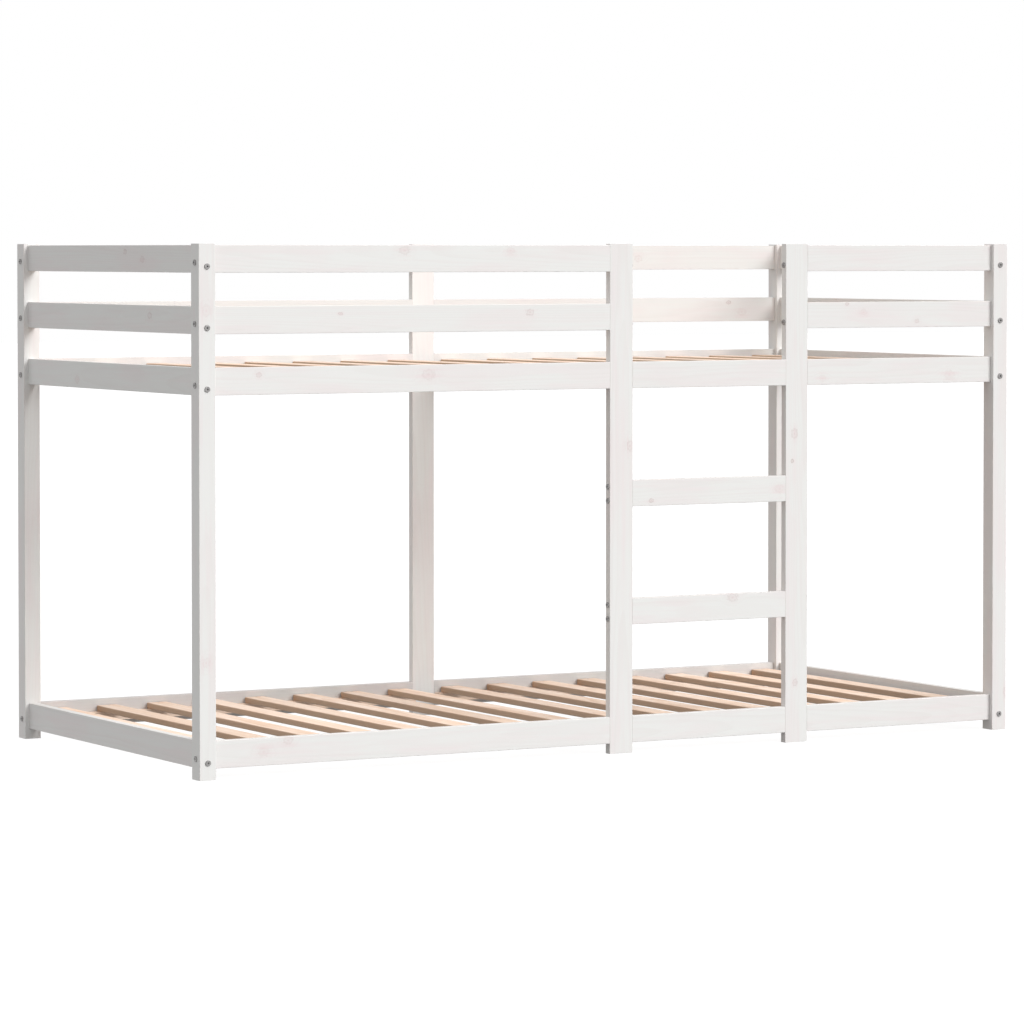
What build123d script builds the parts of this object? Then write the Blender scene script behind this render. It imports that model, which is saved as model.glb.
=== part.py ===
from build123d import *
from collections import namedtuple
import os

# A bunk bed with a ladder: two slatted bunks in a bolted frame of pine boards.
# Millimetres. The origin is on the floor, at the middle of the footprint. +X runs
# along the bed towards the ladder end, -Y is the front, where the ladder is.

# The mattress and the timber set the size of the frame.
mattress_length = 2000.0
mattress_width = 900.0
post_side = 38.0
board_thickness = 18.0
board_height = 58.0
upright_width = 58.0
board_recess = 10.0

# Heights of the lower edges of the rails.
lower_rail_height = 23.0
ladder_step = 260.0
steps_to_upper_bed = 3
guard_rail_pitch = 128.0
post_above_rail = 3.0

# The way in, between the two ladder posts.
ladder_opening = 400.0

# Slats and the ledger strips that carry them.
slat_width = 50.0
slat_thickness = 14.0
slats_per_half = 8
slat_top_above_rail = 44.0
slat_end_gap = 2.0
slat_side_gap = 17.5
ledger_side = 20.0
ledger_end_gap = 2.0

# Eased edges of the timber.
post_edge_radius = 1.0
board_edge_radius = 1.0
board_end_radius = 0.5
slat_edge_radius = 3.0

# Bolts, with barrel nuts that go in from the edge of a board.
bolt_diameter = 6.0
bolt_head_diameter = 12.5
bolt_head_height = 2.2
bolt_head_round = 0.8
bolt_socket = 4.0
bolt_socket_depth = 3.0
bolt_hole_clearance = 0.5
bolt_past_nut = 9.0
bolt_tip_chamfer = 1.0
bolt_height = 13.5
corner_bolt_offset = 8.0
barrel_diameter = 10.0
barrel_length = 16.0
barrel_clearance = 0.3
barrel_slot_width = 1.2
barrel_slot_depth = 1.5
nut_setback = 30.0
thread_clearance = 0.1
hole_end_clearance = 2.0

# Studs that pull two rails against the post between them.
pocket_length = 16.0
pocket_width = 12.0
pocket_above_stud = 8.0
washer_thickness = 2.5
washer_width = 11.0
washer_height = 14.0
stud_nut_width = 10.0
stud_nut_height = 5.0
stud_past_nut = 3.0

# Wooden dowels beside the bolts.
dowel_diameter = 8.0
dowel_length = 30.0
dowel_in_post = 12.0
dowel_height = 44.0
dowel_chamfer = 1.0
dowel_clearance = 0.1

# Countersunk wood screws.
screw_diameter = 4.0
screw_head_diameter = 8.0
screw_head_height = 2.4
screw_length = 28.0
screw_tip = 4.0
screw_sink = 0.3
screw_clearance = 0.1
screw_recess_width = 1.2
screw_recess_span = 4.4
screw_recess_depth = 1.6
screw_zone_clearance = 10.0

# Worked out from the sizes above.
frame_length = mattress_length + 2 * (board_recess + board_thickness)
frame_width = mattress_width + 2 * (board_recess + board_thickness)
half_length = frame_length / 2
half_width = frame_width / 2
post_inner_x = half_length - post_side
post_inner_y = half_width - post_side
long_rail_y = half_width - board_recess - board_thickness / 2
end_rail_x = half_length - board_recess - board_thickness / 2
rail_inner_y = long_rail_y - board_thickness / 2
half_upright = upright_width / 2
ladder_left_x = half_upright
ladder_right_x = ladder_left_x + ladder_opening
upper_bed_height = lower_rail_height + steps_to_upper_bed * ladder_step
levels = {
    "lower": lower_rail_height,
    "upper": upper_bed_height,
    "second": upper_bed_height + guard_rail_pitch,
    "top": upper_bed_height + 2 * guard_rail_pitch,
}
guard_levels = ("second", "top")
bed_levels = ("lower", "upper")
post_height = levels["top"] + board_height + post_above_rail
slat_bottom_above_rail = slat_top_above_rail - slat_thickness
ledger_bottom_above_rail = slat_bottom_above_rail - ledger_side
half_run = post_inner_x - half_upright
slat_pitch = (half_run - 2 * slat_side_gap - slat_width) / (slats_per_half - 1)
bolt_hole_diameter = bolt_diameter + bolt_hole_clearance
barrel_hole_diameter = barrel_diameter + barrel_clearance
joint_zone = nut_setback + pocket_length + screw_zone_clearance

LEFT, RIGHT = -1, 1
FRONT, BACK = -1, 1
SIDE_NAMES = {LEFT: "left", RIGHT: "right"}
FACE_NAMES = {FRONT: "front", BACK: "back"}
BOTTOM_EDGE, TOP_EDGE = -1, 1
WAY_IN = 1.0

# A fixing at one end of a board: the point on the post's face where its axis enters
# the board, the way into the board, how thick the post is there, and for a barrel
# nut or a pocket the edge of the board that it opens at, and how far away that is.
Fixing = namedtuple("Fixing", "kind point into through edge edge_distance")
Board = namedtuple("Board", "name low high fixings")


def block(low, high):
    """A box between two opposite corners."""
    size = [high[i] - low[i] for i in range(3)]
    middle = [(high[i] + low[i]) / 2 for i in range(3)]
    return Pos(*middle) * Box(*size)


def along(point, direction, distance):
    """The point a distance further on in a direction."""
    return tuple(point[i] + direction[i] * distance for i in range(3))


def pin(start, direction, diameter, length):
    """A cylinder that starts at a point and runs one way."""
    seat = Plane(origin=start, z_dir=direction)
    return seat * Cylinder(diameter / 2, length, align=(Align.CENTER, Align.CENTER, Align.MIN))


def eased_board(low, high, edge_radius, end_radius):
    """A board with rounded long edges and slightly rounded ends."""
    size = [high[i] - low[i] for i in range(3)]
    long_axis = (Axis.X, Axis.Y, Axis.Z)[size.index(max(size))]
    board = block(low, high)
    board = fillet(board.edges().filter_by(long_axis), edge_radius)
    ends = board.faces().filter_by(long_axis).sort_by(long_axis)
    return fillet(ends[0].edges() + ends[-1].edges(), end_radius)


# ------------------------------------------------------------ the rails and their fixings

def end_fixings(kind, x, y, bottom, into, through, shift=0.0):
    """The fixings of one rail end: a bolt or a stud, and a dowel above it."""
    height = bolt_height + shift
    metal = Fixing(kind, (x, y, bottom + height), into, through, BOTTOM_EDGE, height)
    wood = Fixing("dowel", (x, y, bottom + dowel_height), into, through, None, None)
    return [metal, wood]


def long_rail(name, face, start, end, start_kind, end_kind, bottom):
    """A rail along X, on the front or the back, from one post to the next."""
    y = face * long_rail_y
    fixings = []
    for x, kind, into in ((start, start_kind, (1, 0, 0)), (end, end_kind, (-1, 0, 0))):
        at_corner = kind == "corner_bolt"
        through = post_side if at_corner else upright_width
        shift = corner_bolt_offset if at_corner else 0.0
        fixings += end_fixings(kind, x, y, bottom, into, through, shift)
    low = (start, y - board_thickness / 2, bottom)
    high = (end, y + board_thickness / 2, bottom + board_height)
    return Board(name, low, high, fixings)


def front_rails():
    """The front rails: the guard rails leave the ladder's opening free, the bed rails cross it."""
    boards = []
    left_end = ladder_left_x - upright_width
    right_start = ladder_right_x + upright_width
    for level, bottom in levels.items():
        guard = level in guard_levels
        kind = "guard_bolt" if guard else "stud"
        label = "guard_rail_front" if guard else "bed_rail_front"
        boards.append(long_rail(f"{label}_left_{level}", FRONT, -post_inner_x, left_end,
                                "corner_bolt", kind, bottom))
        boards.append(long_rail(f"{label}_right_{level}", FRONT, right_start, post_inner_x,
                                kind, "corner_bolt", bottom))
        if not guard:
            boards.append(long_rail(f"{label}_middle_{level}", FRONT, ladder_left_x,
                                    ladder_right_x, "stud", "stud", bottom))
    return boards


def back_rails():
    """The back rails, in two halves that meet at the back middle post."""
    boards = []
    for level, bottom in levels.items():
        boards.append(long_rail(f"back_rail_left_{level}", BACK, -post_inner_x, -half_upright,
                                "corner_bolt", "stud", bottom))
        boards.append(long_rail(f"back_rail_right_{level}", BACK, half_upright, post_inner_x,
                                "stud", "corner_bolt", bottom))
    return boards


def end_rails():
    """The rails across the two ends of the bed."""
    boards = []
    for side in (LEFT, RIGHT):
        x = side * end_rail_x
        for level, bottom in levels.items():
            fixings = []
            for face in (FRONT, BACK):
                fixings += end_fixings("end_bolt", x, face * post_inner_y, bottom,
                                       (0, -face, 0), post_side)
            low = (x - board_thickness / 2, -post_inner_y, bottom)
            high = (x + board_thickness / 2, post_inner_y, bottom + board_height)
            boards.append(Board(f"end_rail_{SIDE_NAMES[side]}_{level}", low, high, fixings))
    return boards


def rungs():
    """The ladder's rungs, each held by two bolts at each end."""
    boards = []
    y = FRONT * long_rail_y
    for step in range(1, steps_to_upper_bed):
        bottom = lower_rail_height + step * ladder_step
        fixings = []
        for x, into in ((ladder_left_x, (1, 0, 0)), (ladder_right_x, (-1, 0, 0))):
            for edge, height in ((BOTTOM_EDGE, bolt_height), (TOP_EDGE, board_height - bolt_height)):
                fixings.append(Fixing("rung_bolt", (x, y, bottom + height), into,
                                      upright_width, edge, bolt_height))
        low = (ladder_left_x, y - board_thickness / 2, bottom)
        high = (ladder_right_x, y + board_thickness / 2, bottom + board_height)
        boards.append(Board(f"rung_{step}", low, high, fixings))
    return boards


def dowel_hole(fixing, direction, depth):
    """A blind hole for one end of a dowel."""
    return pin(fixing.point, direction, dowel_diameter + dowel_clearance, depth + dowel_clearance)


def board_cuts(fixing):
    """What one fixing takes out of the board that it holds."""
    point, into = fixing.point, fixing.into
    if fixing.kind == "dowel":
        return [dowel_hole(fixing, into, dowel_length - dowel_in_post)]
    if fixing.kind == "stud":
        middle = along(point, into, nut_setback + pocket_length / 2)
        low = (middle[0] - pocket_length / 2, middle[1] - pocket_width / 2,
               point[2] - fixing.edge_distance - WAY_IN)
        high = (middle[0] + pocket_length / 2, middle[1] + pocket_width / 2,
                point[2] + pocket_above_stud)
        return [pin(point, into, bolt_hole_diameter, nut_setback + WAY_IN), block(low, high)]
    reach = nut_setback + bolt_past_nut + hole_end_clearance
    nut = along(point, into, nut_setback)
    mouth = along(nut, (0, 0, fixing.edge), fixing.edge_distance + WAY_IN)
    depth = WAY_IN + fixing.edge_distance + barrel_length / 2 + barrel_clearance
    return [pin(point, into, bolt_hole_diameter, reach),
            pin(mouth, (0, 0, -fixing.edge), barrel_hole_diameter, depth)]


def post_cuts(fixing):
    """What one fixing takes out of the post that it goes into or through."""
    back = tuple(-step for step in fixing.into)
    if fixing.kind == "dowel":
        return [dowel_hole(fixing, back, dowel_in_post)]
    start = along(fixing.point, fixing.into, WAY_IN)
    return [pin(start, back, bolt_hole_diameter, fixing.through + 2 * WAY_IN)]


# ------------------------------------------------------------ slats, ledgers and screws

def slat_centres(side):
    """The slats of one half, counted outwards from the middle of the bed."""
    first = half_upright + slat_side_gap + slat_width / 2
    return [side * (first + n * slat_pitch) for n in range(slats_per_half)]


def ledger_screw_places(side, face, level, boards):
    """A screw in every second gap between slats, clear of the end fixings of the rail behind."""
    y = face * long_rail_y
    z = levels[level] + board_height / 2
    behind = [board for board in boards if board.low[1] < y < board.high[1]
              and board.low[2] < z < board.high[2]]
    places = []
    for centre in slat_centres(side)[:-1:2]:
        x = centre + side * slat_pitch / 2
        if any(board.low[0] + joint_zone < x < board.high[0] - joint_zone for board in behind):
            places.append(x)
    return places


def ledger_screw_seats(side, face, level, boards):
    """Where the screws of one ledger start, on its inner face, and the way they point."""
    y = face * (rail_inner_y - ledger_side)
    z = levels[level] + ledger_bottom_above_rail + ledger_side / 2
    places = ledger_screw_places(side, face, level, boards)
    return [((x, y, z), (0, face, 0)) for x in places]


def slat_screw_seats(side, face, level):
    """Where the screws start that hold one half's slats to a ledger, and the way they point."""
    y = face * (rail_inner_y - ledger_side / 2)
    z = levels[level] + slat_top_above_rail
    return [((x, y, z), (0, 0, -1)) for x in slat_centres(side)]


def turned(points):
    """A solid turned about Z, from its outline as radius and height."""
    outline = make_face(Polyline(*[(radius, 0, height) for radius, height in points], close=True))
    return revolve(outline, Axis.Z)


def screw():
    """A countersunk wood screw with a cross recess, its head at the origin, pointing along +Z."""
    head = screw_head_diameter / 2
    neck = screw_diameter / 2
    body = turned([(0, 0), (head, 0), (neck, screw_head_height),
                   (neck, screw_length - screw_tip), (0, screw_length)])
    slot = Box(screw_recess_span, screw_recess_width, 2 * screw_recess_depth)
    return body - [slot, Rot(0, 0, 90) * slot]


def screw_hole():
    """The countersunk hole that takes a screw and its pilot, from the surface at the origin."""
    head = screw_head_diameter / 2 + screw_clearance
    neck = screw_diameter / 2 + screw_clearance
    end = screw_sink + screw_length + screw_clearance
    return turned([(0, -WAY_IN), (head, -WAY_IN), (head, screw_sink),
                   (neck, screw_sink + screw_head_height), (neck, end), (0, end)])


def placed(shape, seat, direction, sink=0.0):
    """A copy of a shape that points along +Z, set at a seat and turned the way it should go."""
    return Plane(origin=along(seat, direction, sink), z_dir=direction) * shape


def slat(x, level):
    """One slat, with a screw hole over each ledger."""
    half = rail_inner_y - slat_end_gap
    top = levels[level] + slat_top_above_rail
    low = (x - slat_width / 2, -half, top - slat_thickness)
    high = (x + slat_width / 2, half, top)
    holes = []
    for face in (FRONT, BACK):
        seat = (x, face * (rail_inner_y - ledger_side / 2), top)
        holes.append(placed(screw_hole(), seat, (0, 0, -1)))
    return eased_board(low, high, slat_edge_radius, board_end_radius) - holes


def slats(side, level):
    """The slats of one half of one bunk."""
    centres = slat_centres(side)
    first = slat(centres[0], level)
    return [Pos(x - centres[0], 0, 0) * first for x in centres]


def ledger(side, face, level, boards):
    """The strip inside a long rail that the slats of one half rest on."""
    x = sorted((side * (half_upright + ledger_end_gap), side * (post_inner_x - ledger_end_gap)))
    y = sorted((face * rail_inner_y, face * (rail_inner_y - ledger_side)))
    bottom = levels[level] + ledger_bottom_above_rail
    low = (x[0], y[0], bottom)
    high = (x[1], y[1], bottom + ledger_side)
    seats = ledger_screw_seats(side, face, level, boards) + slat_screw_seats(side, face, level)
    holes = [placed(screw_hole(), seat, direction) for seat, direction in seats]
    return eased_board(low, high, board_edge_radius, board_end_radius) - holes


def long_rail_pilots(face, boards):
    """The pilot holes that the ledgers' screws need in the long rails of one face."""
    holes = []
    for level in bed_levels:
        for side in (LEFT, RIGHT):
            for seat, direction in ledger_screw_seats(side, face, level, boards):
                holes.append((seat[0], seat[2], placed(screw_hole(), seat, direction)))
    return holes


# ------------------------------------------------------------ wooden pieces

def rail_solid(board, pilots):
    """A rail or a rung with the holes for its fixings and for the ledger's screws."""
    cuts = [cut for fixing in board.fixings for cut in board_cuts(fixing)]
    for face, holes in pilots.items():
        on_face = board.low[1] < face * long_rail_y < board.high[1]
        for x, z, hole in holes:
            if on_face and board.low[0] < x < board.high[0] and board.low[2] < z < board.high[2]:
                cuts.append(hole)
    return eased_board(board.low, board.high, board_edge_radius, board_end_radius) - cuts


def meets(fixing, low, high):
    """Whether a fixing goes into the post between two corners."""
    point = along(fixing.point, fixing.into, -WAY_IN)
    return all(low[i] < point[i] < high[i] for i in range(3))


def post_solid(low, high, edge_radius, fixings):
    """An upright with the holes for every fixing that meets it."""
    cuts = [cut for fixing in fixings if meets(fixing, low, high) for cut in post_cuts(fixing)]
    return eased_board(low, high, edge_radius, board_end_radius) - cuts


def corner_posts(fixings):
    """The four square posts."""
    posts = {}
    for face in (FRONT, BACK):
        for side in (LEFT, RIGHT):
            x = sorted((side * half_length, side * post_inner_x))
            y = sorted((face * half_width, face * post_inner_y))
            name = f"post_{FACE_NAMES[face]}_{SIDE_NAMES[side]}"
            posts[name] = post_solid((x[0], y[0], 0), (x[1], y[1], post_height),
                                     post_edge_radius, fixings)
    return posts


def flat_uprights(fixings):
    """The two ladder posts and the post at the middle of the back."""
    places = {
        "ladder_post_left": (ladder_left_x - upright_width, FRONT),
        "ladder_post_right": (ladder_right_x, FRONT),
        "post_back_middle": (-half_upright, BACK),
    }
    posts = {}
    for name, (start, face) in places.items():
        low = (start, face * long_rail_y - board_thickness / 2, 0)
        high = (start + upright_width, face * long_rail_y + board_thickness / 2, post_height)
        posts[name] = post_solid(low, high, board_edge_radius, fixings)
    return posts


def dowel(fixing):
    """A wooden dowel across the joint between a board's end and its post."""
    start = along(fixing.point, fixing.into, -dowel_in_post)
    body = pin(start, fixing.into, dowel_diameter, dowel_length)
    return chamfer(body.edges().filter_by(GeomType.CIRCLE), dowel_chamfer)


# ------------------------------------------------------------ metal pieces

def bolt(through):
    """A flat-headed bolt with a hexagon socket, the underside of its head at the origin."""
    length = through + nut_setback + bolt_past_nut
    head = Pos(0, 0, -bolt_head_height / 2) * Cylinder(bolt_head_diameter / 2, bolt_head_height)
    rim = head.edges().filter_by(GeomType.CIRCLE).sort_by(Axis.Z)[0]
    head = fillet(rim, bolt_head_round)
    shank = pin((0, 0, 0), (0, 0, 1), bolt_diameter, length)
    shank = chamfer(shank.edges().filter_by(GeomType.CIRCLE).sort_by(Axis.Z)[-1], bolt_tip_chamfer)
    socket = extrude(Plane.XY.offset(-bolt_head_height) * RegularPolygon(
        bolt_socket / 2, 6, major_radius=False), bolt_socket_depth)
    return head + shank - socket


def bolts(kind, fixings):
    """Every bolt of one kind, each with its head on the far side of the post."""
    chosen = [fixing for fixing in fixings if fixing.kind == kind]
    pattern = bolt(chosen[0].through)
    return [placed(pattern, fixing.point, fixing.into, -fixing.through) for fixing in chosen]


def barrel_nut(fixing):
    """A barrel nut, its slotted end towards the edge of the board that it went in by."""
    centre = along(fixing.point, fixing.into, nut_setback)
    outward = (0, 0, fixing.edge)
    start = along(centre, outward, -barrel_length / 2)
    body = pin(start, outward, barrel_diameter, barrel_length)
    hole = pin(along(centre, fixing.into, -barrel_diameter), fixing.into,
               bolt_diameter + thread_clearance, 2 * barrel_diameter)
    slot = Pos(*along(centre, outward, barrel_length / 2)) * Box(
        barrel_slot_width, 2 * barrel_diameter, 2 * barrel_slot_depth)
    return body - [hole, slot]


def barrel_nuts(kinds, fixings):
    """The barrel nuts of the bolts of some kinds."""
    return [barrel_nut(fixing) for fixing in fixings if fixing.kind in kinds]


def studs(fixings):
    """The studs that go right through an upright, one for each pair of rails."""
    reach = nut_setback + washer_thickness + stud_nut_height + stud_past_nut
    pieces = []
    for fixing in fixings:
        if fixing.kind == "stud" and fixing.into[0] > 0:
            start = along(fixing.point, fixing.into, -upright_width - reach)
            pieces.append(pin(start, fixing.into, bolt_diameter, upright_width + 2 * reach))
    return pieces


def stud_washers(fixings):
    """The plate washers in the pockets at the ends of the studs."""
    pieces = []
    for fixing in fixings:
        if fixing.kind == "stud":
            middle = along(fixing.point, fixing.into, nut_setback + washer_thickness / 2)
            plate = Pos(*middle) * Box(washer_thickness, washer_width, washer_height)
            pieces.append(plate - pin(fixing.point, fixing.into, bolt_hole_diameter, 2 * nut_setback))
    return pieces


def stud_nuts(fixings):
    """The hexagon nuts in the pockets, with two of their flats along the pocket's walls."""
    pattern = extrude(RegularPolygon(stud_nut_width / 2, 6, major_radius=False), stud_nut_height)
    pattern -= Cylinder((bolt_diameter + thread_clearance) / 2, 3 * stud_nut_height)
    pieces = []
    for fixing in fixings:
        if fixing.kind == "stud":
            seat = along(fixing.point, fixing.into, nut_setback + washer_thickness)
            upright = Plane(origin=seat, x_dir=(0, 1, 0), z_dir=fixing.into)
            pieces.append(upright * Rot(0, 0, 30) * pattern)
    return pieces


def wood_screws(seats):
    """A screw at each seat, its head just below the surface."""
    pattern = screw()
    return [placed(pattern, seat, direction, screw_sink) for seat, direction in seats]


# ------------------------------------------------------------ the whole bed

def build():
    """Every node of the bed by name: one solid, or a list of solids for a group."""
    boards = front_rails() + back_rails() + end_rails() + rungs()
    fixings = [fixing for board in boards for fixing in board.fixings]
    pilots = {face: long_rail_pilots(face, boards) for face in (FRONT, BACK)}
    nodes = {}
    nodes.update(corner_posts(fixings))
    nodes.update(flat_uprights(fixings))
    for board in boards:
        nodes[board.name] = rail_solid(board, pilots)
    ledger_seats = []
    slat_seats = []
    for level in bed_levels:
        for side in (LEFT, RIGHT):
            nodes[f"slats_{SIDE_NAMES[side]}_{level}"] = slats(side, level)
            for face in (FRONT, BACK):
                name = f"ledger_{FACE_NAMES[face]}_{SIDE_NAMES[side]}_{level}"
                nodes[name] = ledger(side, face, level, boards)
                ledger_seats += ledger_screw_seats(side, face, level, boards)
                slat_seats += slat_screw_seats(side, face, level)
    nodes["bolts_long_rails"] = bolts("corner_bolt", fixings)
    nodes["bolts_end_rails"] = bolts("end_bolt", fixings)
    nodes["bolts_guard_rails"] = bolts("guard_bolt", fixings)
    nodes["bolts_rungs"] = bolts("rung_bolt", fixings)
    nodes["barrel_nuts_corners"] = barrel_nuts(("corner_bolt", "end_bolt"), fixings)
    nodes["barrel_nuts_ladder"] = barrel_nuts(("guard_bolt", "rung_bolt"), fixings)
    nodes["studs"] = studs(fixings)
    nodes["stud_washers"] = stud_washers(fixings)
    nodes["stud_nuts"] = stud_nuts(fixings)
    nodes["dowels"] = [dowel(fixing) for fixing in fixings if fixing.kind == "dowel"]
    nodes["screws_ledgers"] = wood_screws(ledger_seats)
    nodes["screws_slats"] = wood_screws(slat_seats)
    return nodes


os.makedirs("parts", exist_ok=True)
for node, shape in build().items():
    if isinstance(shape, list):
        shape = Compound(children=shape)
    export_step(shape, f"parts/{node}.step")
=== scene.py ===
"""Looks for the bunk bed: white glazed pine, bare pine slats and dark bolts in a white studio."""

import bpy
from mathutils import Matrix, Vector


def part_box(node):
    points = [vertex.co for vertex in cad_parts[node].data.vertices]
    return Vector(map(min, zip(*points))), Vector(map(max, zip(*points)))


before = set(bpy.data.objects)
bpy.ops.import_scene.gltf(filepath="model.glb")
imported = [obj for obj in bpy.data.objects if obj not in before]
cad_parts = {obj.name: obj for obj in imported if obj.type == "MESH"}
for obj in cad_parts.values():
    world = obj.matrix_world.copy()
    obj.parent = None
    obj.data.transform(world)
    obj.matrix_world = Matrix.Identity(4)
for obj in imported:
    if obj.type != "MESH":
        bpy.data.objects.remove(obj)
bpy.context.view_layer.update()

import collections
import math
import random

import bpy
from mathutils import Vector

# ------------------------------------------------------------ colours, as linear reflectance

GLAZE_WHITE = (0.752, 0.750, 0.732)
GLAZE_PINK = (0.757, 0.706, 0.698)
GLAZED_LATEWOOD = (0.705, 0.675, 0.655)
GLAZED_KNOT = (0.735, 0.615, 0.615)
GLAZED_DARK = (0.540, 0.470, 0.450)
PINE_EARLYWOOD = (0.870, 0.660, 0.510)
PINE_SAPWOOD = (0.900, 0.725, 0.600)
# Painted shade: the brown painted onto the slats' long sides, darker than their tops.
PINE_SIDE_SHADE = (0.500, 0.320, 0.200)
PINE_LATEWOOD = (0.690, 0.440, 0.290)
PINE_KNOT = (0.300, 0.140, 0.075)
PINE_KNOT_RIM = (0.190, 0.085, 0.045)
BEECH_LIGHT = (0.620, 0.440, 0.270)
BEECH_DARK = (0.500, 0.330, 0.190)
BOLT_STEEL = (0.330, 0.322, 0.318)
ZINC = (0.600, 0.605, 0.620)
FLOOR_WHITE = (0.15, 0.15, 0.15)
WHITE = (1.0, 1.0, 1.0, 1.0)

# ------------------------------------------------------------ the wood

# A row of slats in one node.
SLAT_WIDTH = 0.050
SLATS_PER_NODE = 8

# Where the middle of the tree was from the middle of a board, and how far the tree leant.
RING_WIDTH = 0.0042
PITH_ACROSS = 0.035
PITH_THROUGH = (0.022, 0.075)
LEAN = 0.025
PITH_BETWEEN_SLATS = 0.05
SLAT_APART = 40.0
SLAT_DRAW = 7.0

# How many rings the grain wanders by, and how many it swings by round a knot.
RING_WANDER = 5.0
RING_SWIRL = 2.6

# How finely each pattern varies along the grain, across it and through the board, per metre.
RAGGED_STRETCH = (160.0, 260.0, 0.0)
WANDER_STRETCH = (1.6, 9.0, 9.0)
FIBRE_STRETCH = (9.0, 900.0, 900.0)
STREAK_STRETCH = (4.0, 110.0, 60.0)
PATCH_STRETCH = (5.0, 22.0, 14.0)
WEAR_STRETCH = 14.0
STREAK_SHIFT = 11.0
PATCH_SHIFT = 37.0
STREAK_RISE = (0.42, 0.68)
PATCH_RISE = (0.42, 0.62)
WEAR_RISE = (0.35, 0.65)

# Each node's draws start from its own number, and its noise from its own place.
FIRST_SEED = 100
SEED_RANGE = 90.0

# The dark part of a ring, as shares of its width: where it starts, is full, and stops.
LATE_RISE = (0.35, 0.90)
LATE_FALL = (0.93, 1.00)
FAINTEST_LATE = 0.35

# Knots: their spacing and sizes in metres, and then their parts in their own radii.
KNOT_CELL = 0.105
KNOT_SMALL = 0.0035
KNOT_LARGE = 0.0105
KNOT_STRETCH = 1.35
KNOT_SHARE = 0.5
KNOT_DARKEST = 0.5
KNOT_REACH = 1.5
NO_KNOT = 0.0005
KNOT_RAGGED = 1.7
RAGGED_RISE = (0.1, 1.0)
KNOT_EDGE = (0.45, 1.25)
KNOT_RINGS = 6.0
KNOT_RING_DEPTH = 0.38
RIM_RISE = (0.60, 0.95)
RIM_FALL = (1.05, 1.45)
HALO_EDGE = (0.3, 3.4)
SWIRL_EDGE = (0.4, 3.4)
PLAIN_HALO = 0.20

# How strongly each pattern shows in the glazed wood and in the bare wood.
GLAZED_SHOW = {"patches": 0.55, "streaks": 0.35, "late": 0.34, "halo": 0.50, "knot": 0.50}
GLAZED_FIBRES = (0.5, 0.8)
GLAZED_FIBRES_SHOW = 0.20
WORN_SHOW = 0.18
BARE_SHOW = {"patches": 0.80, "late": 0.50, "streaks": 0.20, "halo": 0.30, "knot": 0.80,
             "rim": 0.45}
BARE_FIBRES = (0.45, 0.80)
BARE_FIBRES_SHOW = 0.22
# How strongly the painted shade on the slats' long sides shows.
SIDE_SHADE_SHOW = 0.90
BOARD_TINT = 0.12
SLAT_TONE = 0.93
SLAT_TONE_RANGE = 0.14

# How far in from a long edge the glaze wears thin, and where the painted shade on a slat's long
# sides starts.
EDGE_WEAR = 0.0015
SIDE_SHADE_FROM = 0.0018
SIDE_SHADE_FULL = 0.0003

# Painted shade and light: how much darker or lighter some boards are painted than the rest, standing
# in for the shade under the upper bunk on the back rails and for more light on the back middle post.
BOARD_PAINTED_SHADE = {"back_rail_left_lower": 0.81, "back_rail_right_lower": 0.85, "back_rail_": 0.96,
               "post_back_middle": 1.05}

# The knots that show in the photo: how far along the board and how far up its face, as shares
# of its length and width from its lower end or edge, the radius in mm, and how dark.
KNOTS = {
    "guard_rail_front_left_top": ((0.47, 0.80, 8, 0.25), (0.74, 0.80, 6, 0.1)),
    "guard_rail_front_left_second": ((0.31, 0.70, 3, 0.5), (0.79, 0.70, 6, 0.4)),
    "bed_rail_front_left_upper": ((0.53, 0.64, 10, 0.2), (0.11, 0.72, 4, 0.4)),
    "bed_rail_front_left_lower": ((0.18, 0.86, 7, 0.2), (0.12, 0.50, 8, 0.1)),
    "guard_rail_front_right_second": ((0.21, 0.93, 3, 0.6), (0.59, 0.25, 4, 0.4),
                                      (0.30, 0.6, 6, 0.1)),
    "bed_rail_front_right_upper": ((0.77, 0.30, 9, 0.1), (0.08, 0.25, 6, 0.1)),
    "back_rail_right_top": ((0.59, 0.45, 7, 0.2), (0.20, 0.40, 6, 0.1)),
    "back_rail_right_second": ((0.86, 0.80, 4, 0.7), (0.90, 0.40, 8, 0.1)),
    "end_rail_left_top": ((0.40, 0.74, 5, 0.5), (0.30, 0.48, 6, 0.3)),
    "end_rail_left_upper": ((0.69, 0.30, 7, 0.2),),
    "rung_1": ((0.65, 0.85, 8, 0.3),),
    "rung_2": ((0.12, 0.20, 4, 0.6), (0.96, 0.50, 8, 0.1)),
    "ladder_post_left": ((0.604, 0.88, 7, 0.3),),
    "ladder_post_right": ((0.62, 0.40, 7, 0.3), (0.565, 0.30, 3, 0.9), (0.12, 0.45, 5, 0.4)),
    "post_front_left": ((0.875, 0.45, 8, 0.1), (0.22, 0.4, 7, 0.1)),
}

# ------------------------------------------------------------ beech and plated steel

BEECH_FLECKS = 320.0
BEECH_RISE = (0.40, 0.65)
PLATING_MOTTLE = 260.0
PLATING_RISE = (0.35, 0.70)
TOOL_MARKS = 2600.0
STEEL_MOTTLE = 0.72

# ------------------------------------------------------------ light and camera

# The light all round, below and above the horizon.
LIGHT_FROM_BELOW = 0.18
LIGHT_FROM_ABOVE = 0.82
HORIZON_BLUR = 0.15

# Two distant lamps: the way each shines, its strength and how many degrees wide it is.
LAMPS = {
    "key": ((-0.33, 0.63, -0.48), 2.49, 35.0),
    "back": ((0.20, -0.74, -0.50), 0.32, 40.0),
}

FLOOR_HALF = 40.0
FLOOR_GLOW = 0.93

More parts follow.
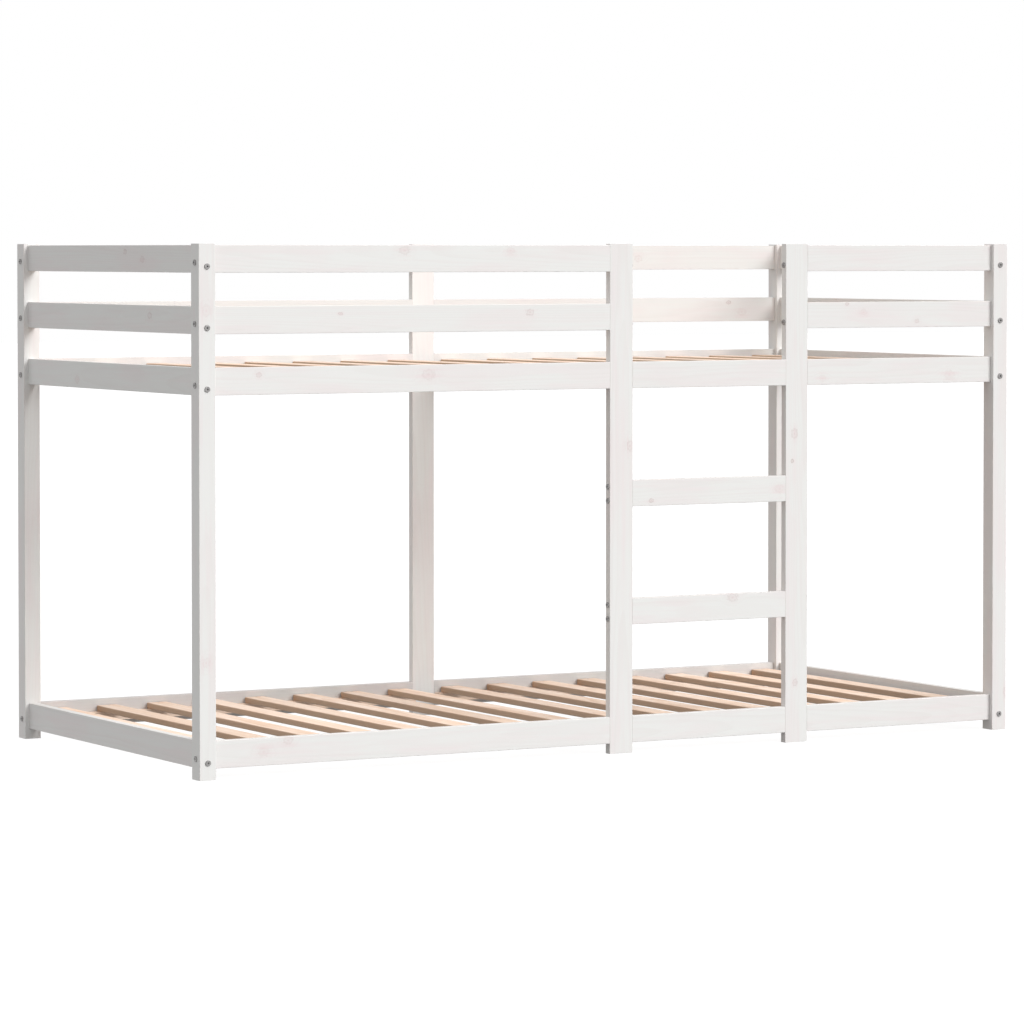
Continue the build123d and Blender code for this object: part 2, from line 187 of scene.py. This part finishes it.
# Where the camera stood, how far it was turned to its right and tilted down, in degrees, and
# its lens.
CAMERA_FROM_MIDDLE = (-4.994, -8.835)
CAMERA_HEIGHT = 1.1065
CAMERA_TURN = 29.42
CAMERA_TILT = 1.794
LENS_MM = 156.2
SENSOR_MM = 36.0
LENS_SHIFT = -0.12
CAMERA_REACH = 200.0


# ------------------------------------------------------------ a small language for nodes

class Graph:
    """The node tree of one material, with a short way to add each kind of node."""

    def __init__(self, name):
        self.material = bpy.data.materials.new(name)
        self.material.use_nodes = True
        self.tree = self.material.node_tree
        self.tree.nodes.clear()

    def node(self, kind, inputs=None, **settings):
        """A node with its settings and its inputs: each input is a socket or a plain value."""
        made = self.tree.nodes.new(kind)
        for key, value in settings.items():
            setattr(made, key, value)
        for key, value in (inputs or {}).items():
            self.feed(made.inputs[key], value)
        return made

    def feed(self, socket, value):
        """Links another node's output to a socket, or sets the socket's own value."""
        if isinstance(value, bpy.types.NodeSocket):
            self.tree.links.new(value, socket)
        else:
            socket.default_value = value

    def math(self, operation, *values, clamp=False):
        """One arithmetic step."""
        made = self.node("ShaderNodeMath", dict(enumerate(values)),
                         operation=operation, use_clamp=clamp)
        return made.outputs[0]

    def add(self, first, second, clamp=False):
        """The sum of two values."""
        return self.math("ADD", first, second, clamp=clamp)

    def less(self, first, second):
        """The first value less the second."""
        return self.math("SUBTRACT", first, second)

    def times(self, first, second):
        """The product of two values."""
        return self.math("MULTIPLY", first, second)

    def over(self, first, second):
        """The first value divided by the second."""
        return self.math("DIVIDE", first, second)

    def length(self, first, second):
        """The length of a line with these two sides."""
        squares = self.add(self.math("POWER", first, 2.0), self.math("POWER", second, 2.0))
        return self.math("SQRT", squares)

    def rise(self, value, low, high):
        """0 below low, 1 above high, and smooth between them."""
        inputs = {"Value": value, "From Min": low, "From Max": high}
        made = self.node("ShaderNodeMapRange", inputs,
                         interpolation_type="SMOOTHSTEP", clamp=True)
        return made.outputs[0]

    def fall(self, value, low, high):
        """1 below low, 0 above high, and smooth between them."""
        return self.less(1.0, self.rise(value, low, high))

    def vector(self, x, y, z):
        """A vector from three numbers or sockets."""
        return self.node("ShaderNodeCombineXYZ", {0: x, 1: y, 2: z}).outputs[0]

    def noise(self, place, scale, detail, roughness=0.5):
        """Smooth noise from 0 to 1."""
        inputs = {"Vector": place, "Scale": scale, "Detail": detail, "Roughness": roughness}
        return self.node("ShaderNodeTexNoise", inputs).outputs[0]

    def chance(self, number):
        """A number from 0 to 1 drawn for each whole number."""
        inputs = {"W": number}
        return self.node("ShaderNodeTexWhiteNoise", inputs, noise_dimensions="1D").outputs[0]

    def object_place(self):
        """Where a point is in the object."""
        return self.node("ShaderNodeTexCoord").outputs["Object"]

    def mix(self, share, first, second):
        """A colour between two others."""
        made = self.node("ShaderNodeMix", data_type="RGBA", clamp_factor=True)
        self.feed(made.inputs[0], share)
        self.feed(made.inputs[6], (*first, 1.0) if isinstance(first, tuple) else first)
        self.feed(made.inputs[7], (*second, 1.0) if isinstance(second, tuple) else second)
        return made.outputs[2]

    def scaled(self, colour, tone):
        """A colour made lighter or darker."""
        inputs = {0: colour, "Scale": tone}
        return self.node("ShaderNodeVectorMath", inputs, operation="SCALE").outputs[0]

    def bump(self, height, distance, strength):
        """A surface roughened by a height."""
        inputs = {"Height": height, "Distance": distance, "Strength": strength}
        return self.node("ShaderNodeBump", inputs).outputs[0]

    def surface(self, **inputs):
        """The finished surface."""
        shader = self.node("ShaderNodeBsdfPrincipled")
        for key, value in inputs.items():
            name = key.replace("_", " ").title().replace("Ior", "IOR")
            self.feed(shader.inputs[name], value)
        output = self.node("ShaderNodeOutputMaterial")
        self.tree.links.new(shader.outputs[0], output.inputs[0])
        return self.material


# ------------------------------------------------------------ wood

# Where a point is in its own board, from its middle: along the grain, across the face and
# through it; and then the board's half sizes.
Board = collections.namedtuple("Board", "along across through half_width half_thickness half_length")


def board_coordinates(graph, node, grain_axis):
    """The coordinates of a board that is a node by itself."""
    low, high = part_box(node)
    middle = (low + high) / 2
    half = (high - low) / 2
    parts = graph.node("ShaderNodeSeparateXYZ", {0: graph.object_place()}).outputs
    others = [axis for axis in range(3) if axis != grain_axis]
    wide, thin = sorted(others, key=lambda axis: -round(half[axis], 4))
    places = [graph.less(parts[axis], middle[axis]) for axis in (grain_axis, wide, thin)]
    return Board(*places, half[wide], half[thin], half[grain_axis])


def slat_coordinates(graph, node):
    """The coordinates of a row of slats, each cut from its own piece of wood, and a chance
    from 0 to 1 that is each slat's own."""
    low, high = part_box(node)
    middle = (low + high) / 2
    half = (high - low) / 2
    pitch = (2 * half.x - SLAT_WIDTH) / (SLATS_PER_NODE - 1)
    parts = graph.node("ShaderNodeSeparateXYZ", {0: graph.object_place()}).outputs
    from_first = graph.less(parts[0], low.x + (SLAT_WIDTH - pitch) / 2)
    number = graph.math("FLOOR", graph.over(from_first, pitch))
    across = graph.less(graph.less(from_first, graph.times(number, pitch)), pitch / 2)
    chance = graph.chance(graph.add(number, middle.z * SLAT_DRAW + low.x))
    along = graph.add(graph.less(parts[1], middle.y), graph.times(chance, SLAT_APART))
    through = graph.less(parts[2], middle.z)
    return Board(along, across, through, SLAT_WIDTH / 2, half.z, half.y), chance


def strewn_knots(graph, board, seed):
    """Round knots here and there: how far a point is from the nearest one, in the knot's own
    radii, and how dark that knot is."""
    place = graph.vector(graph.over(board.along, KNOT_CELL * KNOT_STRETCH),
                         graph.over(board.across, KNOT_CELL), seed)
    cells = graph.node("ShaderNodeTexVoronoi", {"Vector": place, "Scale": 1.0, "Randomness": 1.0},
                       voronoi_dimensions="3D", feature="F1").outputs
    chance = graph.node("ShaderNodeSeparateColor", {0: cells["Color"]}).outputs
    radius = graph.add(KNOT_SMALL / KNOT_CELL,
                       graph.times(chance[0], (KNOT_LARGE - KNOT_SMALL) / KNOT_CELL))
    radius = graph.times(radius, graph.math("LESS_THAN", chance[1], KNOT_SHARE))
    radius = graph.math("MAXIMUM", radius, NO_KNOT)
    return graph.over(cells["Distance"], radius), graph.times(chance[2], KNOT_DARKEST)


def set_knots(graph, board, knots):
    """As strewn_knots, for knots at known places on one board."""
    spread, dark = None, 0.0
    for share_along, share_across, radius, darkness in knots:
        reach = radius / 1000.0
        off_along = graph.less(board.along, (share_along - 0.5) * 2 * board.half_length)
        off_across = graph.less(board.across, (share_across - 0.5) * 2 * board.half_width)
        out = graph.length(graph.over(off_along, reach * KNOT_STRETCH),
                           graph.over(off_across, reach))
        inside = graph.math("LESS_THAN", out, KNOT_REACH)
        dark = graph.math("MAXIMUM", dark, graph.times(inside, darkness))
        spread = out if spread is None else graph.math("MINIMUM", spread, out)
    return spread, dark


def stretched_noise(graph, board, stretch, seed, detail, roughness=0.5):
    """Noise that varies at its own rate along, across and through a board."""
    place = graph.vector(graph.times(board.along, stretch[0]),
                         graph.times(board.across, stretch[1]),
                         graph.add(graph.times(board.through, stretch[2]), seed))
    return graph.noise(place, 1.0, detail, roughness)


def knot_patterns(graph, board, seed, spread):
    """A knot's middle, the stain round it and its dark rim, each from 0 to 1, and how far the
    rings swing round it."""
    ragged = graph.less(stretched_noise(graph, board, RAGGED_STRETCH, seed, 2.0), 0.5)
    ragged = graph.times(ragged, KNOT_RAGGED)
    spread = graph.add(spread, graph.times(ragged, graph.rise(spread, *RAGGED_RISE)))
    ringed = graph.math("COSINE", graph.times(spread, KNOT_RINGS))
    ringed = graph.add(1.0 - KNOT_RING_DEPTH, graph.times(ringed, KNOT_RING_DEPTH))
    knot = graph.times(graph.fall(spread, *KNOT_EDGE), ringed)
    halo = graph.fall(spread, *HALO_EDGE)
    rim = graph.times(graph.rise(spread, *RIM_RISE), graph.fall(spread, *RIM_FALL))
    return knot, halo, rim, graph.fall(spread, *SWIRL_EDGE)


def year_rings(graph, board, seed, dice, swirl, offset):
    """The dark part of each ring, from 0 to 1, and stronger in some years than in others."""
    pith_across = dice.uniform(-PITH_ACROSS, PITH_ACROSS)
    pith_through = dice.choice((-1, 1)) * dice.uniform(*PITH_THROUGH)
    lean = dice.uniform(-LEAN, LEAN)
    out_across = graph.add(board.across, pith_across)
    if offset is not None:
        out_across = graph.add(out_across, graph.times(offset, PITH_BETWEEN_SLATS))
    out_through = graph.add(graph.add(board.through, pith_through),
                            graph.times(board.along, lean))
    radius = graph.length(out_across, out_through)
    wander = graph.less(stretched_noise(graph, board, WANDER_STRETCH, seed, 3.0), 0.5)
    rings = graph.add(graph.over(radius, RING_WIDTH), graph.times(wander, RING_WANDER))
    rings = graph.add(rings, graph.times(swirl, RING_SWIRL))
    phase = graph.math("FRACT", rings)
    late = graph.times(graph.rise(phase, *LATE_RISE), graph.fall(phase, *LATE_FALL))
    year = graph.chance(graph.math("FLOOR", rings))
    return graph.times(late, graph.add(FAINTEST_LATE, graph.times(year, 1.0 - FAINTEST_LATE)))


def grain(graph, board, seed, dice, knots, offset=None):
    """The patterns of cut pine, each from 0 to 1."""
    spread, dark = knots
    knot, halo, rim, swirl = knot_patterns(graph, board, seed, spread)
    late = year_rings(graph, board, seed, dice, swirl, offset)
    fibres = stretched_noise(graph, board, FIBRE_STRETCH, seed, 3.0, 0.6)
    streaks = stretched_noise(graph, board, STREAK_STRETCH, seed + STREAK_SHIFT, 3.0)
    streaks = graph.rise(streaks, *STREAK_RISE)
    patches = stretched_noise(graph, board, PATCH_STRETCH, seed + PATCH_SHIFT, 2.0)
    patches = graph.rise(patches, *PATCH_RISE)
    halo = graph.times(halo, graph.add(PLAIN_HALO, graph.times(streaks, 1.0 - PLAIN_HALO)))
    return {"late": late, "fibres": fibres, "streaks": streaks, "patches": patches,
            "knot": knot, "halo": halo, "rim": rim, "dark": dark}


def edge_wear(graph, board, seed):
    """1 on the rounded long edges of a board, where a finish wears thin, and 0 on its faces."""
    near_side = graph.rise(graph.math("ABSOLUTE", board.across),
                           board.half_width - EDGE_WEAR, board.half_width)
    near_face = graph.rise(graph.math("ABSOLUTE", board.through),
                           board.half_thickness - EDGE_WEAR, board.half_thickness)
    patchy = graph.noise(graph.vector(graph.times(board.along, WEAR_STRETCH), seed, 0.0), 1.0, 2.0)
    return graph.times(graph.times(near_side, near_face), graph.rise(patchy, *WEAR_RISE))


def glazed_pine(node, grain_axis, seed):
    """Pine under a thin white glaze, which lets knots and the stronger grain show faintly."""
    dice = random.Random(seed)
    graph = Graph(f"white_pine_{node}")
    board = board_coordinates(graph, node, grain_axis)
    if node in KNOTS:
        knots = set_knots(graph, board, KNOTS[node])
    else:
        knots = strewn_knots(graph, board, dice.uniform(0, SEED_RANGE))
    wood = grain(graph, board, dice.uniform(0, SEED_RANGE), dice, knots)
    show = {name: graph.times(wood[name], strength)
            for name, strength in GLAZED_SHOW.items()}
    tint = graph.add(show["patches"], show["streaks"])
    tint = graph.add(tint, dice.uniform(-BOARD_TINT, BOARD_TINT), clamp=True)
    colour = graph.mix(tint, GLAZE_WHITE, GLAZE_PINK)
    colour = graph.mix(show["late"], colour, GLAZED_LATEWOOD)
    fibres = graph.times(graph.rise(wood["fibres"], *GLAZED_FIBRES), GLAZED_FIBRES_SHOW)
    colour = graph.mix(fibres, colour, GLAZED_LATEWOOD)
    colour = graph.mix(show["halo"], colour, GLAZED_KNOT)
    colour = graph.mix(show["knot"], colour, GLAZED_KNOT)
    shade = graph.times(wood["dark"], graph.math("MAXIMUM", wood["knot"], wood["rim"]))
    colour = graph.mix(shade, colour, GLAZED_DARK)
    worn = edge_wear(graph, board, dice.uniform(0, SEED_RANGE))
    colour = graph.mix(graph.times(worn, WORN_SHOW), colour, PINE_SAPWOOD)
    # Painted shade or light: the colour of some boards is scaled darker or lighter instead of being
    # shaded by the lamps.
    tone = next((tone for start, tone in BOARD_PAINTED_SHADE.items() if node.startswith(start)), 1.0)
    height = graph.add(graph.times(wood["late"], 0.5), wood["fibres"])
    return graph.surface(base_color=graph.scaled(colour, tone),
                         roughness=graph.add(0.46, graph.times(wood["fibres"], 0.12)),
                         normal=graph.bump(height, 0.00012, 0.55))


def bare_pine(node, grain_axis, slats, seed):
    """Planed pine with no finish: clear rings, darker latewood and brown knots."""
    dice = random.Random(seed)
    graph = Graph(f"natural_pine_{node}")
    if slats:
        board, offset = slat_coordinates(graph, node)
    else:
        board, offset = board_coordinates(graph, node, grain_axis), None
    knots = strewn_knots(graph, board, dice.uniform(0, SEED_RANGE))
    wood = grain(graph, board, dice.uniform(0, SEED_RANGE), dice, knots, offset)
    show = {name: graph.times(wood[name], strength) for name, strength in BARE_SHOW.items()}
    colour = graph.mix(show["patches"], PINE_SAPWOOD, PINE_EARLYWOOD)
    colour = graph.mix(show["late"], colour, PINE_LATEWOOD)
    colour = graph.mix(show["streaks"], colour, PINE_LATEWOOD)
    fibres = graph.times(graph.rise(wood["fibres"], *BARE_FIBRES), BARE_FIBRES_SHOW)
    colour = graph.mix(fibres, colour, PINE_LATEWOOD)
    colour = graph.mix(show["halo"], colour, PINE_LATEWOOD)
    colour = graph.mix(show["knot"], colour, PINE_KNOT)
    colour = graph.mix(show["rim"], colour, PINE_KNOT_RIM)
    if slats:
        # Painted shade: the slats' long sides are painted darker brown as a stand-in for the shade
        # they lie in.
        side_shade = graph.rise(graph.math("ABSOLUTE", board.across),
                          board.half_width - SIDE_SHADE_FROM, board.half_width - SIDE_SHADE_FULL)
        colour = graph.mix(graph.times(side_shade, SIDE_SHADE_SHOW), colour, PINE_SIDE_SHADE)
        colour = graph.scaled(colour, graph.add(SLAT_TONE, graph.times(offset, SLAT_TONE_RANGE)))
    height = graph.add(graph.times(wood["late"], 0.7), wood["fibres"])
    return graph.surface(base_color=colour,
                         roughness=graph.add(0.55, graph.times(wood["fibres"], 0.15)),
                         normal=graph.bump(height, 0.00018, 0.6))


def beech(node):
    """Turned beech, with its short dark flecks."""
    graph = Graph(f"beech_{node}")
    flecks = graph.noise(graph.object_place(), BEECH_FLECKS, 3.0)
    colour = graph.mix(graph.rise(flecks, *BEECH_RISE), BEECH_LIGHT, BEECH_DARK)
    return graph.surface(base_color=colour, roughness=0.6, normal=graph.bump(flecks, 0.0001, 0.4))


# ------------------------------------------------------------ metal

def steel(name, colour, shine_low, shine_high):
    """Plated steel, with a little mottling in its plating and fine tool marks."""
    graph = Graph(name)
    place = graph.object_place()
    mottle = graph.noise(place, PLATING_MOTTLE, 3.0)
    marks = graph.noise(place, TOOL_MARKS, 2.0)
    darker = tuple(part * STEEL_MOTTLE for part in colour)
    tone = graph.mix(graph.rise(mottle, *PLATING_RISE), colour, darker)
    roughness = graph.add(shine_low, graph.times(mottle, shine_high - shine_low))
    return graph.surface(base_color=tone, roughness=roughness, metallic=1.0,
                         normal=graph.bump(marks, 0.00003, 0.35))


# ------------------------------------------------------------ the materials of every node

def dress(node, seed):
    """The material of one node, by what the piece is."""
    low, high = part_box(node)
    size = high - low
    longest = max(range(3), key=lambda axis: size[axis])
    if node.startswith(("slats_", "ledger_")):
        return bare_pine(node, longest, node.startswith("slats_"), seed)
    if node == "dowels":
        return beech(node)
    if node.startswith("bolts_"):
        return steel(f"bolt_steel_{node}", BOLT_STEEL, 0.30, 0.50)
    if node.startswith(("barrel_", "stud", "screws_")):
        return steel(f"zinc_steel_{node}", ZINC, 0.22, 0.42)
    return glazed_pine(node, longest, seed)


for number, name in enumerate(sorted(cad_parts)):
    material = dress(name, FIRST_SEED + number)
    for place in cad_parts[name].material_slots:
        place.material = material


# ------------------------------------------------------------ studio

def studio_floor():
    """A large white floor that glows, as a lit white sweep does."""
    half = FLOOR_HALF
    mesh = bpy.data.meshes.new("studio_floor")
    corners = [(-half, -half, 0), (half, -half, 0), (half, half, 0), (-half, half, 0)]
    mesh.from_pydata(corners, [], [(0, 1, 2, 3)])
    floor = bpy.data.objects.new("studio_floor", mesh)
    bpy.context.scene.collection.objects.link(floor)
    graph = Graph("studio_floor")
    mesh.materials.append(graph.surface(
        base_color=(*FLOOR_WHITE, 1.0), roughness=0.9, specular_ior_level=0.0,
        emission_color=WHITE, emission_strength=FLOOR_GLOW))
    floor.visible_diffuse = False


def studio_world():
    """White all round to the eye; the bed gets most of its light from above the horizon."""
    world = bpy.data.worlds.new("studio")
    world.use_nodes = True
    tree = world.node_tree
    tree.nodes.clear()
    way = tree.nodes.new("ShaderNodeTexCoord")
    parts = tree.nodes.new("ShaderNodeSeparateXYZ")
    share = tree.nodes.new("ShaderNodeMapRange")
    glow = tree.nodes.new("ShaderNodeBackground")
    seen = tree.nodes.new("ShaderNodeBackground")
    either = tree.nodes.new("ShaderNodeMixShader")
    path = tree.nodes.new("ShaderNodeLightPath")
    output = tree.nodes.new("ShaderNodeOutputWorld")
    share.inputs["From Min"].default_value = -HORIZON_BLUR
    share.inputs["From Max"].default_value = HORIZON_BLUR
    share.inputs["To Min"].default_value = LIGHT_FROM_BELOW
    share.inputs["To Max"].default_value = LIGHT_FROM_ABOVE
    glow.inputs["Color"].default_value = WHITE
    seen.inputs["Color"].default_value = WHITE
    tree.links.new(way.outputs["Generated"], parts.inputs[0])
    tree.links.new(parts.outputs["Z"], share.inputs["Value"])
    tree.links.new(share.outputs[0], glow.inputs["Strength"])
    tree.links.new(path.outputs["Is Camera Ray"], either.inputs[0])
    tree.links.new(glow.outputs[0], either.inputs[1])
    tree.links.new(seen.outputs[0], either.inputs[2])
    tree.links.new(either.outputs[0], output.inputs[0])
    bpy.context.scene.world = world


def lamp(name, towards, strength, softness):
    """A distant soft light that shines one way."""
    data = bpy.data.lights.new(name, "SUN")
    data.energy = strength
    data.angle = math.radians(softness)
    light = bpy.data.objects.new(name, data)
    light.rotation_mode = "QUATERNION"
    light.rotation_quaternion = Vector(towards).to_track_quat("-Z", "Y")
    bpy.context.scene.collection.objects.link(light)


def camera():
    """The camera at the photo's viewing angle, level with the top of the bed."""
    data = bpy.data.cameras.new("camera")
    data.lens = LENS_MM
    data.sensor_width = SENSOR_MM
    data.shift_y = LENS_SHIFT
    data.clip_end = CAMERA_REACH
    viewer = bpy.data.objects.new("camera", data)
    viewer.location = (*CAMERA_FROM_MIDDLE, CAMERA_HEIGHT)
    viewer.rotation_euler = (math.radians(90.0 - CAMERA_TILT), 0.0, math.radians(-CAMERA_TURN))
    bpy.context.scene.collection.objects.link(viewer)
    bpy.context.scene.camera = viewer


studio_floor()
studio_world()
for name, (towards, strength, softness) in LAMPS.items():
    lamp(name, towards, strength, softness)
camera()
bpy.context.scene.view_settings.view_transform = "Standard"
